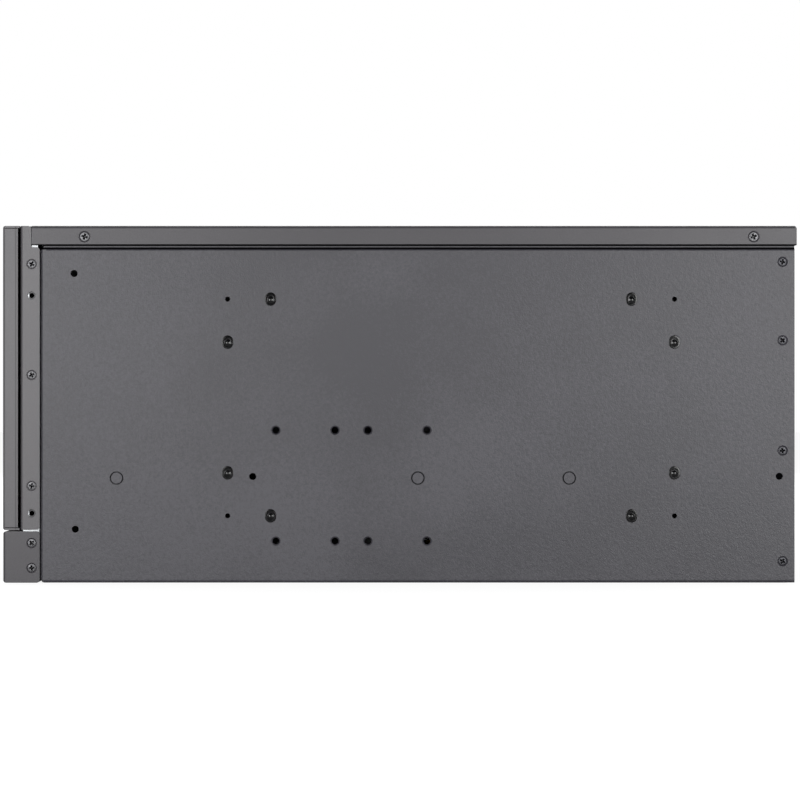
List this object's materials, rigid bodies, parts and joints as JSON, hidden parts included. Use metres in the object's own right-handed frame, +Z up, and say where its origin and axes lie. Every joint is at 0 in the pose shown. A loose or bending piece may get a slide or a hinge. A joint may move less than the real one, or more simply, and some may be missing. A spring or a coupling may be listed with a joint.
{
  "type": "rackmount server case",
  "caption": "Empty short-depth rackmount server case with a hinged front door, lift-off cover, fans, drive bays and slots.",
  "frame": {"origin": "under the middle of the case, on the plane that it stands on", "axes": "+Z up, the front door faces -Y, +X to the right seen from the front"},
  "size_m": [0.4306, 0.3936, 0.177],
  "materials": {
    "paint": "black powder coat, fine texture",
    "zinc": "zinc-coated steel, bare",
    "bright_steel": "bright zinc plate",
    "chrome": "chrome plate",
    "black_steel": "black oxide, semi-gloss",
    "aluminium": "plain",
    "brass": "turned",
    "black_plastic": "moulded, satin",
    "gloss_black": "glossy",
    "foam": "open-cell foam",
    "nylon": "natural nylon",
    "board": "solder mask",
    "lens": "clear moulded"
  },
  "bodies": {
    "case": {"bay_blank_1": "black_plastic", "bay_blank_2": "black_plastic", "bay_blank_3": "black_plastic", "board_spacers": "nylon", "board_standoffs": "brass", "button_switches": "black_plastic", "cage_screws": "bright_steel", "chassis_body": "paint", "control_board": "board", "cover_screws": "bright_steel", "cross_brace": "zinc", "drive_cage": "zinc", "fan_frame_left": "black_plastic", "fan_frame_right": "black_plastic", "fan_screws": "black_steel", "front_panel": "paint", "front_screws": "bright_steel", "front_wall": "zinc", "hinge_lug_lower": "zinc", "hinge_lug_upper": "zinc", "hinge_pins": "bright_steel", "indicator_lenses": "lens", "io_panel": "paint", "lower_bezel": "paint", "rail_nuts": "bright_steel", "rear_panel": "paint", "rear_panel_screws": "black_steel", "rear_side_screws": "black_steel", "side_plugs": "gloss_black", "side_rail_left": "zinc", "side_rail_right": "zinc", "side_studs": "paint", "slot_cover_1": "zinc", "slot_cover_2": "zinc", "slot_cover_3": "zinc", "slot_cover_4": "zinc", "slot_cover_5": "zinc", "slot_cover_6": "zinc", "slot_cover_7": "zinc", "slot_screws": "bright_steel", "supply_tray": "zinc", "top_cover": "paint", "usb_sockets": "bright_steel", "wall_rivets": "aluminium"},
    "door": {"front_door": "paint", "door_filter": "foam", "filter_frame": "black_plastic", "lock_body": "chrome"},
    "lock": {"lock_plug": "chrome", "lock_cam": "zinc", "lock_nut": "bright_steel"},
    "power_button": {"power_button": "gloss_black"},
    "reset_button": {"reset_button": "gloss_black"},
    "fan_left": {"fan_rotor_left": "black_plastic"},
    "fan_right": {"fan_rotor_right": "black_plastic"}
  },
  "joints": [
    {"name": "door_hinge", "type": "hinge", "parent": "case", "child": "door", "pos_m": [-0.212, -0.1936, 0.1015], "axis": [0, 0, -1], "range_deg": [0, 110]},
    {"name": "lock_turn", "type": "hinge", "parent": "door", "child": "lock", "pos_m": [0.202, -0.1918, 0.102], "axis": [0, 1, 0], "range_deg": [0, 90]},
    {"name": "power_press", "type": "slide", "parent": "case", "child": "power_button", "axis": [0, 1, 0], "range_m": [0, 0.001], "stiffness_N_per_m": 400},
    {"name": "reset_press", "type": "slide", "parent": "case", "child": "reset_button", "axis": [0, 1, 0], "range_m": [0, 0.0008], "stiffness_N_per_m": 400},
    {"name": "fan_left_spin", "type": "hinge", "parent": "case", "child": "fan_left", "pos_m": [-0.146, -0.1656, 0.088], "axis": [0, 1, 0], "continuous": true},
    {"name": "fan_right_spin", "type": "hinge", "parent": "case", "child": "fan_right", "pos_m": [-0.025, -0.1656, 0.088], "axis": [0, 1, 0], "continuous": true}
  ]
}
